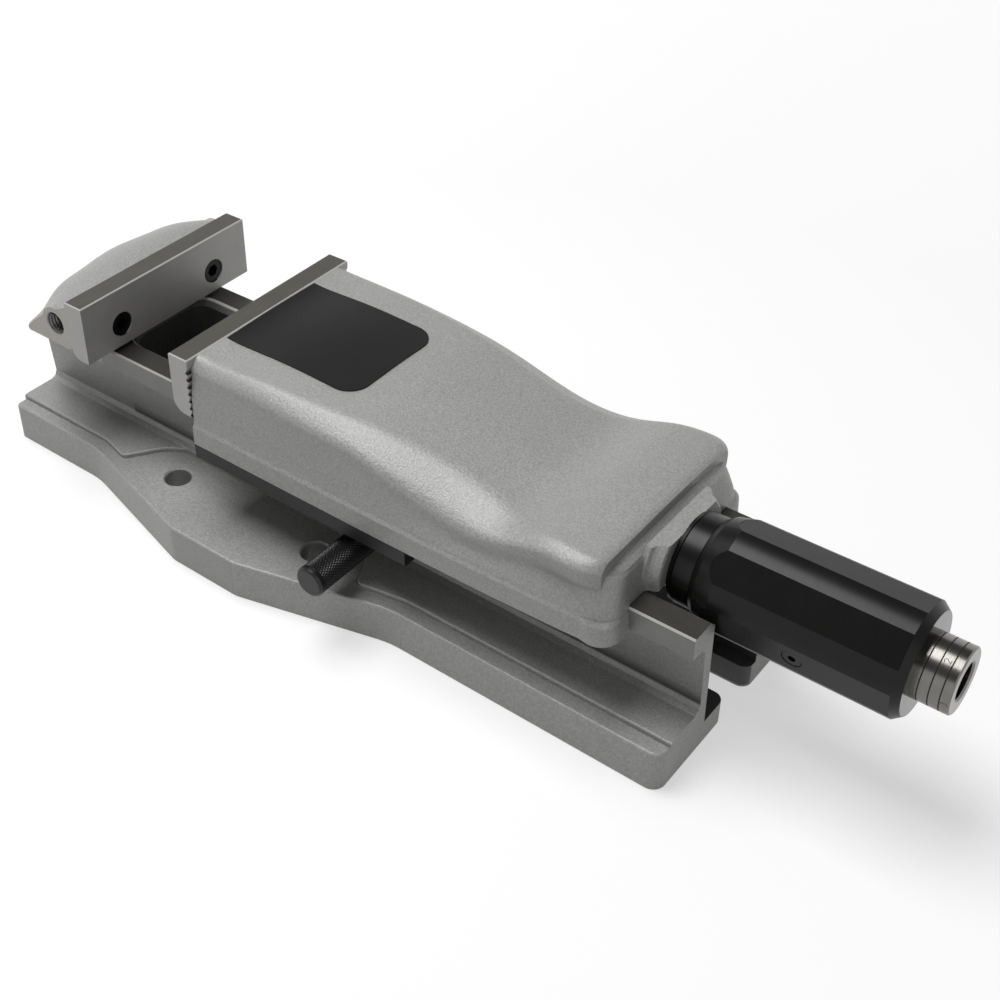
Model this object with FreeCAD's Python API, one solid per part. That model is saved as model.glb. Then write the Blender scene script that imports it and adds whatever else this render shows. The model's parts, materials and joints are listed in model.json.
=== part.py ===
# Machine vise with a compact booster spindle, built around the table plane and the fixed clamping face
# X runs from the fixed jaw towards the spindle, Z is up, Y is across, all sizes are in millimetres
import FreeCAD, Part
import math
import os

V = FreeCAD.Vector
os.makedirs("parts", exist_ok=True)

# Jaws and clamping gap
jaw_width = 113.0
plate_thickness = 12.0
plate_height = 32.0
jaw_top = 106.0
jaw_gap = 61.0
plate_toe_radius = 7.0
plate_screw_spacing = 64.5
plate_screw_height = 85.8
plate_screw_diameter = 8.0
plate_screw_head = 12.5
plate_screw_seat = 8.2
plate_screw_sunk = 0.6
plate_screw_length = 24.0
plate_bevel = 0.6
tooth_pitch = 4.0
tooth_depth = 1.6
tooth_count = 7

# Base casting
base_rear = -70.0
base_front = 330.0
base_width = 115.0
base_rear_radius = 3.0
base_front_radius = 6.0
flange_edge_radius = 1.2
flange_top = 20.5
platform_top = 23.0
lobe_width = 156.0
lobe_middle = 92.0
lobe_flat = 42.0
lobe_foot = 196.0
lobe_tip_radius = 16.0
lobe_foot_radius = 45.0
bolt_spacing_x = 92.0
bolt_spacing_y = 96.0
bolt_hole = 13.5
slot_near = 4.3
slot_far = 15.3
slot_start = 262.0
floor_top = 12.0

# Rails and channel
rail_top = 72.0
rail_width = 79.0
rail_head_depth = 11.0
rail_gap = 55.0
channel_width = 48.2
channel_floor_width = 44.0
channel_corner = 9.0
channel_start = -5.0
web_width_top = 59.0
web_width_root = 55.0
root_fillet = 4.0
head_fillet = 3.0
web_slope_start = -47.0
web_rear_height = 57.0

# Fixed jaw
stop_hole = 11.0
stop_hole_depth = 18.0
stop_hole_back = 22.0
stop_hole_height = 90.0
stop_boss_radius = 9.0
jaw_foot = 78.0
screw_tap_depth = 18.0

# Moving jaw casting
casting_length = 219.5
casting_width = 115.0
skirt_bottom = 59.5
skirt_step = 69.0
rear_foot = 8.5
rear_wall = 16.0
boss_radius = 25.5
boss_top = 91.5
boss_reach = 3.5
bearing_recess = 5.0
bearing_radius = 15.8
washer_thickness = 1.2
info_length = 77.0
info_width = 61.0
info_corner = 11.0
info_thickness = 0.5
info_seat = 0.08

# Keepers under the rail heads
keeper_length = 127.5
keeper_bottom = 51.5
keeper_screw = 6.0
keeper_screw_head = 10.0
keeper_screw_length = 16.0
keeper_screw_rows = 4

# Spindle group
axis_height = 74.5
screw_radius = 10.0
screw_start = 100.0
neck_radius = 12.0
nut_middle = 163.7
nut_length = 40.0
nut_wall = 3.5
nut_bottom = 26.0
collar_radius = 20.4
housing_radius = 24.5
housing_flats = 46.8
housing_start = 315.4
housing_full = 325.6
housing_shoulder = 400.8
housing_end = 404.2
housing_nose_radius = 20.8
housing_tail_radius = 21.8
housing_bore = 38.0
sleeve_radius = 14.0
sleeve_length = 25.0
sleeve_end = 419.0
sleeve_bore = 9.6
hex_across = 14.0
hex_depth = 18.0
drive_end = 402.0
clutch_length = 8.0
shoulder_start = 8.0
shoulder_length = 2.0
shoulder_radius = 13.0
oil_plug_radius = 4.0
oil_plug_x = 361.8
spring_count = 7
spring_pitch = 3.5
groove_first = 406.4
groove_pitch = 4.25
groove_width = 0.5
groove_depth = 0.35

# Locking pin
pin_height = 37.7
pin_radius = 6.0
pin_bore_length = 90.0
pin_inner_end = 31.0
knob_radius = 7.5
knob_start = 38.0
knob_end = 80.0

# Named clearances
slide_gap = 0.05
running_gap = 0.05
loose_gap = 0.3

pin_x = nut_middle
casting_front = jaw_gap + plate_thickness
casting_rear = casting_front + casting_length
foot_rear = casting_rear + rear_foot
wall_face = foot_rear - rear_wall
ring_length = 5.4
neck_start = wall_face - ring_length - 0.6
head_bottom = rail_top - rail_head_depth
keeper_inner = web_width_top / 2.0 + head_fillet + loose_gap
keeper_screw_y = (casting_width + rail_width) / 4.0
piston_start = housing_start + 12.6
piston_length = 12.0


def save(name, shape):
    """Write one node as a STEP file."""
    shape.exportStep("parts/" + name + ".step")
    print(name, len(shape.Solids), shape.isValid(), round(shape.Volume / 1000.0, 1))


def box(x0, x1, y0, y1, z0, z1):
    """Box given by its limits along each axis."""
    return Part.makeBox(x1 - x0, y1 - y0, z1 - z0, V(x0, y0, z0))


def rod(x0, x1, radius, y=0.0, z=None):
    """Cylinder along X."""
    height = axis_height if z is None else z
    return Part.makeCylinder(radius, x1 - x0, V(x0, y, height), V(1, 0, 0))


def turned(profile):
    """Solid of revolution about the spindle axis from a list of X and radius."""
    points = [V(x, 0, axis_height + r) for x, r in profile]
    wire = Part.makePolygon(points + [points[0]])
    return Part.Face(wire).revolve(V(0, 0, axis_height), V(1, 0, 0), 360)


def plate_from(points, z0, z1):
    """Prism from a closed plan outline."""
    wire = Part.makePolygon([V(x, y, z0) for x, y in points] + [V(points[0][0], points[0][1], z0)])
    return Part.Face(wire).extrude(V(0, 0, z1 - z0))


def rounded_plan(corners, z):
    """Closed plan outline of corners given by X, Y and radius, with a tangent arc in each corner."""
    runs = []
    for i in range(len(corners)):
        here = V(corners[i][0], corners[i][1], z)
        before = V(corners[i - 1][0], corners[i - 1][1], z) - here
        after = V(corners[(i + 1) % len(corners)][0], corners[(i + 1) % len(corners)][1], z) - here
        before.normalize()
        after.normalize()
        middle = before + after
        middle.normalize()
        radius = corners[i][2]
        half_turn = (math.pi - before.getAngle(after)) / 2.0
        tangent = radius * math.tan(half_turn)
        crown = here + middle * (radius / math.cos(half_turn) - radius)
        runs.append((here + before * tangent, crown, here + after * tangent))
    edges = []
    for i, (start, crown, end) in enumerate(runs):
        edges.append(Part.makeLine(runs[i - 1][2], start))
        edges.append(Part.Arc(start, crown, end).toShape())
    return Part.Wire(edges)


def section_prism(points, x0, x1):
    """Prism along X from a closed outline of Y and Z."""
    wire = Part.makePolygon([V(x0, y, z) for y, z in points] + [V(x0, points[0][0], points[0][1])])
    return Part.Face(wire).extrude(V(x1 - x0, 0, 0))


def side_prism(points, y0, y1):
    """Prism along Y from a closed outline of X and Z."""
    wire = Part.makePolygon([V(x, y0, z) for x, z in points] + [V(points[0][0], y0, points[0][1])])
    return Part.Face(wire).extrude(V(0, y1 - y0, 0))


def upright_edges(shape, picks, reach=0.6):
    """Vertical edges that stand at the given plan points."""
    found = []
    for edge in shape.Edges:
        a = edge.Vertexes[0].Point
        b = edge.Vertexes[-1].Point
        if abs(a.x - b.x) > 0.01 or abs(a.y - b.y) > 0.01:
            continue
        for x, y in picks:
            if abs(a.x - x) < reach and abs(abs(a.y) - y) < reach:
                found.append(edge)
    return found


def top_edges(shape, z):
    """Edges that lie wholly at one height."""
    found = []
    for edge in shape.Edges:
        box_of = edge.BoundBox
        if abs(box_of.ZMin - z) < 0.01 and abs(box_of.ZMax - z) < 0.01:
            found.append(edge)
    return found


def mirrored(shape):
    """The same shape on the other side of the middle plane."""
    return shape.mirror(V(0, 0, 0), V(0, 1, 0))


def hexagon(across, x0, x1, y=0.0, z=None, turn=0.0):
    """Hexagonal prism along X given by its width across flats."""
    height = axis_height if z is None else z
    reach = across / math.sqrt(3.0)
    points = []
    for i in range(6):
        angle = math.radians(turn + 60.0 * i)
        points.append((y + reach * math.cos(angle), height + reach * math.sin(angle)))
    return section_prism(points, x0, x1)


def plate_screw_rod(x0, x1, radius, side):
    """Cylinder on the axis of one plate screw, the near one for side -1."""
    return rod(x0, x1, radius, side * plate_screw_spacing / 2.0, plate_screw_height)


def pin_bore(middle=0.0):
    """Cross bore that the locking pin slides in."""
    start = V(pin_x, middle - pin_bore_length / 2.0, pin_height)
    return Part.makeCylinder(pin_radius + running_gap, pin_bore_length, start, V(0, 1, 0))


# Base casting made of flange, platform, webs, rail heads and the fixed jaw
def flange():
    """Foot of the casting with a lobe for the table bolts on each side."""
    half = base_width / 2.0
    lobe = lobe_width / 2.0
    near = [
        (base_rear, -half, base_rear_radius),
        (lobe_middle - lobe_foot / 2.0, -half, lobe_foot_radius),
        (lobe_middle - lobe_flat / 2.0, -lobe, lobe_tip_radius),
        (lobe_middle + lobe_flat / 2.0, -lobe, lobe_tip_radius),
        (lobe_middle + lobe_foot / 2.0, -half, lobe_foot_radius),
        (base_front, -half, base_front_radius),
    ]
    outline = near + [(x, -y, radius) for x, y, radius in reversed(near)]
    body = Part.Face(rounded_plan(outline, 0.0)).extrude(V(0, 0, flange_top))
    return body.makeFillet(flange_edge_radius, top_edges(body, flange_top))


def platform():
    """Raised floor of the flange, cut back round the bolt holes and the pin's knob."""
    half = base_width / 2.0 - 7.0
    bay = pin_x
    front = [
        (base_rear, -half),
        (-4.0, -half),
        (13.0, -half - 4.5),
        (25.0, -37.5),
        (40.0, -28.0),
        (40.0, 0.0),
        (base_rear, 0.0),
    ]
    back = [
        (bay - 11.7, 0.0),
        (bay - 11.7, -28.0),
        (bay - 0.7, -41.0),
        (bay + 5.3, -half - 4.0),
        (bay + 31.3, -half + 0.6),
        (base_front, -half + 0.6),
        (base_front, 0.0),
    ]
    shapes = []
    for points, picks in (
        (front, ((-4.0, half, 30.0), (13.0, half + 4.5, 4.0), (25.0, 37.5, 16.0))),
        (back, ((bay + 5.3, half + 4.0, 3.5), (bay - 0.7, 41.0, 12.0), (bay + 31.3, half - 0.6, 30.0))),
    ):
        body = plate_from(points, floor_top, platform_top)
        for x, y, radius in picks:
            body = body.makeFillet(radius, upright_edges(body, [(x, y)]))
        rim = [e for e in top_edges(body, platform_top) if e.BoundBox.YMax < -10.0]
        rim = [e for e in rim if abs(e.BoundBox.XMax - base_front) > 0.1 or e.BoundBox.YLength < 5.0]
        rim = [e for e in rim if abs(e.BoundBox.XMin - base_rear) > 0.1 or e.BoundBox.YLength < 5.0]
        body = body.makeFillet(0.9, rim)
        shapes.append(body)
        shapes.append(mirrored(body))
    return shapes


def walls():
    """Webs and rail heads as one block before the channel is cut."""
    top = web_width_top / 2.0
    root = web_width_root / 2.0
    head = rail_width / 2.0
    flare = root_fillet * 0.3
    near = [
        (-root - root_fillet, floor_top),
        (-root - root_fillet, platform_top),
        (-root - flare, platform_top + flare),
        (-root, platform_top + root_fillet),
        (-top, head_bottom - head_fillet),
        (-top - head_fillet, head_bottom),
        (-head, head_bottom),
        (-head, rail_top - 0.8),
        (-head + 0.8, rail_top),
    ]
    outline = near + [(-y, z) for y, z in reversed(near)]
    body = section_prism(outline, base_rear, base_front)
    over = [
        (base_rear - 1.0, web_rear_height),
        (web_slope_start, rail_top + 5.0),
        (base_rear - 1.0, rail_top + 5.0),
    ]
    return body.cut(side_prism(over, -rail_width, rail_width))


def round_slot(half, x0, x1, corner, z):
    """Closed plan outline of a slot with round corners at its low X end."""
    bend = corner * (1.0 - math.sqrt(0.5))
    return Part.Wire([
        Part.makeLine(V(x1, -half, z), V(x0 + corner, -half, z)),
        Part.Arc(V(x0 + corner, -half, z), V(x0 + bend, -half + bend, z), V(x0, -half + corner, z)).toShape(),
        Part.makeLine(V(x0, -half + corner, z), V(x0, half - corner, z)),
        Part.Arc(V(x0, half - corner, z), V(x0 + bend, half - bend, z), V(x0 + corner, half, z)).toShape(),
        Part.makeLine(V(x0 + corner, half, z), V(x1, half, z)),
        Part.makeLine(V(x1, half, z), V(x1, -half, z)),
    ])


def channel():
    """Drafted channel between the rails with its flared mouth."""
    end = base_front + 5.0
    half = channel_width / 2.0
    gap = rail_gap / 2.0
    low = round_slot(channel_floor_width / 2.0, channel_start + 1.5, end, channel_corner, floor_top)
    high = round_slot(half, channel_start, end, channel_corner, rail_top)
    body = Part.makeLoft([low, high], True, True)
    flare = gap - half
    rim_low = round_slot(half, channel_start, end, channel_corner, rail_top - flare)
    wide = flare + 0.5
    rim_high = round_slot(half + wide, channel_start - wide, end, channel_corner + wide, rail_top + 0.5)
    return body.fuse(Part.makeLoft([rim_low, rim_high], True, True))


def end_slot():
    """Open slot for a clamping bolt in the floor of the spindle end."""
    width = slot_far + slot_near
    middle = (slot_far - slot_near) / 2.0
    body = box(slot_start, base_front + 1.0, -slot_near, slot_far, -1.0, floor_top + 1.0)
    return body.fuse(Part.makeCylinder(width / 2.0, floor_top + 2.0, V(slot_start, middle, -1.0)))


def jaw_section(y, lift, depth, drop, heel, foot):
    """Closed outline of the fixed jaw at one place across the vise."""
    front = -plate_thickness
    points = [
        V(front, y, jaw_top - 0.3 - drop * 0.6),
        V(front - 9.0 - depth * 0.4, y, jaw_top - 2.4 - drop + lift * 0.6),
        V(front - 19.0 - depth * 0.7, y, jaw_top - 8.6 - drop + lift),
        V(front - 28.0 - depth * 0.9, y, jaw_top - 17.0 - drop * 0.6 + lift),
        V(front - 34.5 - depth, y, foot + heel),
    ]
    curve = Part.BSplineCurve()
    curve.interpolate(points)
    toe = Part.BSplineCurve()
    turn = V(front - 34.2 - depth, y, foot + heel * 0.33)
    toe.interpolate([points[-1], turn, V(front - 31.5 - depth, y, foot)])
    return Part.Wire([
        Part.makeLine(V(front, y, foot), points[0]),
        curve.toShape(),
        toe.toShape(),
        Part.makeLine(V(front - 31.5 - depth, y, foot), V(front, y, foot)),
    ])


def fixed_jaw():
    """Domed jaw with a stop hole in a boss at each end, on a stem that flares out of the rails."""
    half = jaw_width / 2.0
    foot = jaw_foot
    near = (
        (1.0, 0.0, -1.4, 5.0, 2.0),
        (0.97, 0.2, -0.9, 4.2, 3.0),
        (0.9, 0.4, -0.5, 2.6, 3.8),
        (0.8, 1.0, 1.2, 1.0, 4.0),
        (0.68, 2.8, 4.4, 0.6, 4.0),
        (0.4, 4.2, 6.8, 0.2, 4.0),
    )
    stations = [(-half * s[0],) + s[1:] for s in near]
    stations.append((0.0, 5.0, 9.0, 0.0, 4.0))
    stations.extend([(half * s[0],) + s[1:] for s in reversed(near)])
    dome = Part.makeLoft([jaw_section(*s, foot) for s in stations], True, False)
    head = rail_width / 2.0
    stem_points = [
        (-head, rail_top - 8.0),
        (-head, rail_top + 1.0),
        (-head - 5.0, foot + 0.2),
        (head + 5.0, foot + 0.2),
        (head, rail_top + 1.0),
        (head, rail_top - 8.0),
    ]
    stem = section_prism(stem_points, -plate_thickness - 33.0, -plate_thickness)
    body = dome.fuse(stem)
    tap_radius = plate_screw_diameter / 2.0 + loose_gap
    for side in (-1.0, 1.0):
        start = V(-stop_hole_back, side * half, stop_hole_height)
        inward = V(0, -side, 0)
        boss = Part.makeCylinder(stop_boss_radius, stop_hole_depth + 2.0, start, inward)
        hole = Part.makeCylinder(stop_hole / 2.0, stop_hole_depth, start, inward)
        cone = Part.makeCone(stop_hole / 2.0 + 0.9, stop_hole / 2.0 - 0.1, 1.0, start, inward)
        body = body.fuse(boss).cut(hole).cut(cone)
        tap = plate_screw_rod(-plate_thickness - screw_tap_depth, -plate_thickness + 1.0, tap_radius, side)
        body = body.cut(tap)
    return body


def bolt_hole_cut(x, y):
    """Through hole for a table bolt with a small countersink."""
    radius = bolt_hole / 2.0
    hole = Part.makeCylinder(radius, flange_top + 3.0, V(x, y, -1.0))
    return hole.fuse(Part.makeCone(radius, radius + 1.0, 1.0, V(x, y, flange_top - 0.8)))


def slot_corners(body):
    """Upright edges where the end slot leaves the casting."""
    found = []
    for edge in body.Edges:
        limits = edge.BoundBox
        upright = limits.XLength < 0.01 and limits.YLength < 0.01
        at_end = abs(limits.XMin - base_front) < 0.01 and limits.ZMax < floor_top + 0.1
        if upright and at_end and -slot_near - 0.1 < limits.YMin < slot_far + 0.1:
            found.append(edge)
    return found


def base_body():
    """The whole bed in one casting."""
    body = flange()
    body = body.fuse(platform() + [walls()])
    body = body.cut(channel())
    body = body.fuse(fixed_jaw())
    for x in (-1.0, 1.0):
        for y in (-1.0, 1.0):
            body = body.cut(bolt_hole_cut(lobe_middle + x * bolt_spacing_x / 2.0, y * bolt_spacing_y / 2.0))
    body = body.cut(end_slot())
    body = body.makeFillet(5.0, slot_corners(body))
    return body.cut(pin_bore()).removeSplitter()


# Jaw plates with a round toe towards the fixed end, the moving one toothed at its back
def toe_outline(x0):
    """Outline edges of a plate's clamping side, from its back top edge round to the toe."""
    x1 = x0 + plate_thickness
    z0 = jaw_top - plate_height
    bevel = plate_bevel
    r = plate_toe_radius
    points = [
        V(x1 - bevel, 0, jaw_top),
        V(x0 + bevel, 0, jaw_top),
        V(x0, 0, jaw_top - bevel),
        V(x0, 0, z0 + r),
    ]
    edges = [Part.makeLine(points[i], points[i + 1]) for i in range(3)]
    middle = V(x0 + r - r * math.cos(math.pi / 4), 0, z0 + r - r * math.sin(math.pi / 4))
    edges.append(Part.Arc(points[3], middle, V(x0 + r, 0, z0)).toShape())
    return edges, V(x0 + r, 0, z0), V(x1, 0, z0), points[0]


def sweep_plate(edges):
    """Plate of the jaw's width from its closed outline, its top corners bevelled."""
    half = jaw_width / 2.0
    face = Part.Face(Part.Wire(edges))
    body = face.extrude(V(0, jaw_width, 0))
    body.translate(V(0, -half, 0))
    ends = [e for e in body.Edges if e.BoundBox.YLength < 0.01 and abs(e.BoundBox.ZMin - jaw_top) < 0.01]
    return body.makeChamfer(0.5, ends)


def screw_bores(body, face, inward):
    """Clearance holes for the two plate screws, with head recesses from the clamping face."""
    seat = face + inward * plate_screw_seat
    back = face + inward * (plate_thickness + 1.0)
    out = face - inward * 4.0
    for side in (-1.0, 1.0):
        hole = plate_screw_rod(min(out, back), max(out, back), plate_screw_diameter / 2.0 + loose_gap, side)
        head = plate_screw_rod(min(out, seat), max(out, seat), plate_screw_head / 2.0 + loose_gap, side)
        body = body.cut(hole).cut(head)
    return body


def fixed_jaw_plate():
    """Smooth plate of the fixed jaw."""
    edges, toe, low, high = toe_outline(-plate_thickness)
    corner = V(low.x, 0, jaw_top - plate_bevel)
    edges.append(Part.makeLine(toe, low))
    edges.append(Part.makeLine(low, corner))
    edges.append(Part.makeLine(corner, high))
    return screw_bores(sweep_plate(edges), 0.0, -1.0)


def moving_jaw_plate():
    """Plate of the moving jaw, its back cut into teeth that hook into the casting."""
    edges, toe, low, high = toe_outline(jaw_gap)
    edges.append(Part.makeLine(toe, low))
    last = low
    for i in range(tooth_count):
        tip = V(low.x - tooth_depth, 0, low.z + tooth_pitch * (i + 0.12))
        back = V(low.x, 0, low.z + tooth_pitch * (i + 1))
        edges.append(Part.makeLine(last, tip))
        edges.append(Part.makeLine(tip, back))
        last = back
    corner = V(low.x, 0, jaw_top - plate_bevel)
    edges.append(Part.makeLine(last, corner))
    edges.append(Part.makeLine(corner, high))
    return screw_bores(sweep_plate(edges), jaw_gap, 1.0)


def socket_screw(x_face, direction, length):
    """Socket head screw along X whose head face is at x_face and whose shank runs along direction."""
    screws = []
    for side in (-1.0, 1.0):
        y = side * plate_screw_spacing / 2.0
        base = V(x_face, y, plate_screw_height)
        head = Part.makeCylinder(plate_screw_head / 2.0, 7.6, base, V(direction, 0, 0))
        shank = Part.makeCylinder(plate_screw_diameter / 2.0, length, base, V(direction, 0, 0))
        body = head.fuse(shank)
        ends = sorted((x_face - direction, x_face + direction * 4.0))
        socket = hexagon(6.0, ends[0], ends[1], y, plate_screw_height)
        screws.append(body.cut(socket).removeSplitter())
    return Part.makeCompound(screws)


# Moving jaw casting lofted through stations along the vise
def smooth(points, first, last):
    """Smooth curve through a few points with given directions at its ends."""
    curve = Part.BSplineCurve()
    curve.interpolate(Points=points, InitialTangent=first, FinalTangent=last)
    return curve.toShape()


def casting_section(x, top, half, roll, crease, waist, foot):
    """Closed outline of the moving jaw at one station, its top rolled down to a crease above the waist."""
    drop = top - crease
    crest = V(x, half - roll, top)
    bend = V(x, half - roll * 0.48, top - drop * 0.3)
    edge = V(x, half - 0.5, crease + 0.3)
    under = V(x, half - 0.2, crease - 2.4)
    tuck = V(x, foot - 1.0 - waist, (crease + skirt_step) / 2.0)
    step = V(x, foot - 1.0, skirt_step + 1.6)
    lip = V(x, foot, skirt_step)
    down = V(0, 0, -1)
    upper = [crest, bend, edge, under]
    lower = [under, tuck, step]
    right = [
        Part.makeLine(V(x, foot, skirt_bottom), lip),
        Part.makeLine(lip, step),
        smooth(list(reversed(lower)), V(0, -0.2, 1), -down),
        smooth(list(reversed(upper)), -down, V(0, -1, 0)),
    ]
    flip = [V(p.x, -p.y, p.z) for p in upper]
    flip_low = [V(p.x, -p.y, p.z) for p in lower]
    left = [
        smooth(flip, V(0, -1, 0), down),
        smooth(flip_low, down, V(0, -0.2, -1)),
        Part.makeLine(flip_low[2], V(x, -foot, skirt_step)),
        Part.makeLine(V(x, -foot, skirt_step), V(x, -foot, skirt_bottom)),
    ]
    over = smooth([crest, V(x, 0, top + 0.6), flip[0]], V(0, -1, 0), V(0, -1, 0))
    base = Part.makeLine(V(x, -foot, skirt_bottom), V(x, foot, skirt_bottom))
    return Part.Wire([base] + right + [over] + left)


def casting_skin():
    """The jaw's outer form: nose, long slope, saddle and shoulder."""
    stations = (
        (0.0, 105.4, 54.2, 6.5, 100.8, 0.8, 57.5),
        (28.0, 105.4, 54.8, 8.5, 100.0, 0.9, 57.5),
        (56.0, 105.2, 55.0, 11.0, 98.8, 1.0, 57.5),
        (80.0, 104.2, 54.6, 14.0, 97.0, 1.2, 57.5),
        (104.0, 101.8, 54.0, 18.0, 93.6, 1.5, 57.5),
        (124.0, 98.4, 53.9, 21.5, 88.4, 1.9, 57.4),
        (145.0, 94.6, 53.7, 23.0, 83.9, 2.3, 57.2),
        (163.0, 91.6, 53.7, 20.0, 83.7, 2.6, 56.9),
        (176.0, 91.8, 53.2, 14.0, 86.8, 3.0, 56.6),
        (187.0, 94.6, 53.0, 9.5, 90.6, 3.6, 56.2),
        (198.0, 96.6, 53.8, 8.0, 92.8, 3.8, 55.8),
        (208.0, 96.9, 54.4, 7.5, 93.0, 3.4, 55.4),
        (214.0, 96.7, 53.6, 7.0, 92.9, 3.4, 55.0),
        (217.6, 96.2, 51.6, 6.5, 92.4, 3.8, 54.6),
        (casting_length, 95.2, 49.4, 5.5, 91.4, 4.6, 54.0),
    )
    return Part.makeLoft([casting_section(casting_front + s[0], *s[1:]) for s in stations], True, False)


def apron_outline(z, rear, half, corner):
    """Plan outline of the rear block at one height. Its sides grow out of the casting to round corners."""
    front = casting_rear - 24.0
    bend = corner * (1.0 - math.sqrt(0.5))
    near = [
        V(front, -half + 3.0, z),
        V(rear - corner, -half, z),
        V(rear - bend, -half + bend, z),
        V(rear, -half + corner, z),
    ]
    far = [V(p.x, -p.y, p.z) for p in reversed(near)]
    return Part.Wire([
        Part.makeLine(near[0], near[1]),
        Part.Arc(near[1], near[2], near[3]).toShape(),
        Part.makeLine(near[3], far[0]),
        Part.Arc(far[0], far[1], far[2]).toShape(),
        Part.makeLine(far[2], far[3]),
        Part.makeLine(far[3], near[0]),
    ])


def rear_block():
    """Skirt corners and rear wall that reach past the shoulder towards the spindle."""
    skirt = Part.makeLoft([
        apron_outline(skirt_bottom, foot_rear, 55.6, 9.0),
        apron_outline(skirt_step, foot_rear - 0.6, 55.6, 9.0),
        apron_outline(skirt_step + 1.6, foot_rear - 1.6, 54.6, 9.5),
    ], True, True)
    wall = Part.makeLoft([
        apron_outline(skirt_step, foot_rear - 1.2, 53.6, 9.5),
        apron_outline(76.0, foot_rear - 1.7, 52.8, 11.0),
        apron_outline(82.0, foot_rear - 2.6, 51.8, 13.0),
        apron_outline(86.6, foot_rear - 3.4, 50.8, 14.5),
        apron_outline(88.6, foot_rear - 4.3, 49.9, 14.5),
        apron_outline(89.6, foot_rear - 5.6, 48.7, 14.0),
        apron_outline(90.2, foot_rear - 7.2, 47.2, 13.0),
        apron_outline(91.2, foot_rear - 8.6, 45.8, 12.0),
    ], True, True)
    return [skirt, wall]


def rear_boss():
    """Round boss for the spindle bearing, flared where it leaves the rear wall, its top planed flat."""
    end = foot_rear + boss_reach
    profile = [
        (end - 8.0, 0.0),
        (end - 8.0, boss_radius + 3.4),
        (end - 5.4, boss_radius + 3.4),
        (end - 4.4, boss_radius + 1.7),
        (end - 3.2, boss_radius + 0.7),
        (end - 1.4, boss_radius + 0.1),
        (end - 0.5, boss_radius - 0.4),
        (end, boss_radius - 1.4),
        (end, 0.0),
    ]
    over = box(end - boss_radius, end + boss_radius, -casting_width, casting_width, boss_top, jaw_top)
    under = box(end - boss_radius, end + boss_radius, -casting_width, casting_width, 0.0, rail_top)
    return turned(profile).cut(over).cut(under)


def moving_jaw(skin):
    """Jaw casting over the rails with its screw arch, retaining pocket and bearing seat."""
    body = skin.fuse(rear_block() + [rear_boss()])
    head = rail_width / 2.0 + slide_gap
    start = casting_front - 1.0
    end = foot_rear + boss_reach + 1.0
    body = body.cut(box(start, end, -head, head, skirt_bottom - 20.0, rail_top + slide_gap))
    inner = channel_width / 2.0 - 0.5
    arch_start = casting_front + 22.0
    body = body.cut(box(arch_start, wall_face, -inner, inner, rail_top - 1.0, axis_height + 0.5))
    arch = rod(arch_start, wall_face, screw_radius + nut_wall + 0.7)
    pocket = rod(wall_face - 23.0, wall_face, neck_radius + 3.5)
    bore = rod(wall_face - 1.0, end, neck_radius + running_gap)
    face = foot_rear + boss_reach - bearing_recess
    seat = rod(face, end, bearing_radius + loose_gap)
    body = body.cut(arch).cut(pocket).cut(bore).cut(seat)
    tap_end = casting_front + screw_tap_depth - 1.0
    for side in (-1.0, 1.0):
        body = body.cut(plate_screw_rod(start, tap_end, plate_screw_diameter / 2.0 + loose_gap, side))
    for x, y in keeper_places():
        hole = Part.makeCylinder(keeper_screw / 2.0 + loose_gap, 10.5, V(x, y, skirt_bottom - 0.5))
        body = body.cut(hole)
    return body.removeSplitter()


def keeper_places():
    """Plan points of the keeper screws, midway between the rail's side and the casting's."""
    places = []
    step = (keeper_length - 28.0) / (keeper_screw_rows - 1)
    for i in range(keeper_screw_rows):
        for side in (-1.0, 1.0):
            places.append((casting_front + 14.0 + i * step, side * keeper_screw_y))
    return places


def keeper(side):
    """Stepped bar bolted under the skirt, its inner lip under the rail head."""
    outer = casting_width / 2.0
    head = rail_width / 2.0 + slide_gap
    points = [
        (side * outer, keeper_bottom + 0.6),
        (side * outer, skirt_bottom),
        (side * head, skirt_bottom),
        (side * head, head_bottom - slide_gap),
        (side * keeper_inner, head_bottom - slide_gap),
        (side * keeper_inner, keeper_bottom),
        (side * (outer - 0.6), keeper_bottom),
    ]
    body = section_prism(points, casting_front, casting_front + keeper_length)
    for x, y in keeper_places():
        if y * side > 0:
            hole = Part.makeCylinder(keeper_screw / 2.0 + loose_gap, 12.0, V(x, y, keeper_bottom - 1.0))
            recess = Part.makeCylinder(keeper_screw_head / 2.0 + loose_gap, 5.4, V(x, y, keeper_bottom - 1.0))
            body = body.cut(hole).cut(recess)
    return body


def keeper_screws():
    """Cap screws that hold the keepers up against the skirt."""
    screws = []
    for x, y in keeper_places():
        base = V(x, y, keeper_bottom + 0.4)
        head = Part.makeCylinder(keeper_screw_head / 2.0, 4.0, base)
        shank = Part.makeCylinder(keeper_screw / 2.0, keeper_screw_length, base)
        screws.append(head.fuse(shank).removeSplitter())
    return Part.makeCompound(screws)


def info_plate(skin):
    """Thin plate with round corners that lies on the casting behind the toothed plate."""
    seat = skin.copy()
    seat.translate(V(0, 0, info_seat))
    raised = skin.copy()
    raised.translate(V(0, 0, info_seat + info_thickness))
    half = info_width / 2.0
    start = casting_front + 1.0
    end = start + info_length
    outline = box(start, end, -half, half, jaw_top - 11.0, jaw_top + 4.0)
    outline = outline.makeFillet(info_corner, upright_edges(outline, [(end, half)]))
    return outline.common(raised).cut(seat).removeSplitter()


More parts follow.
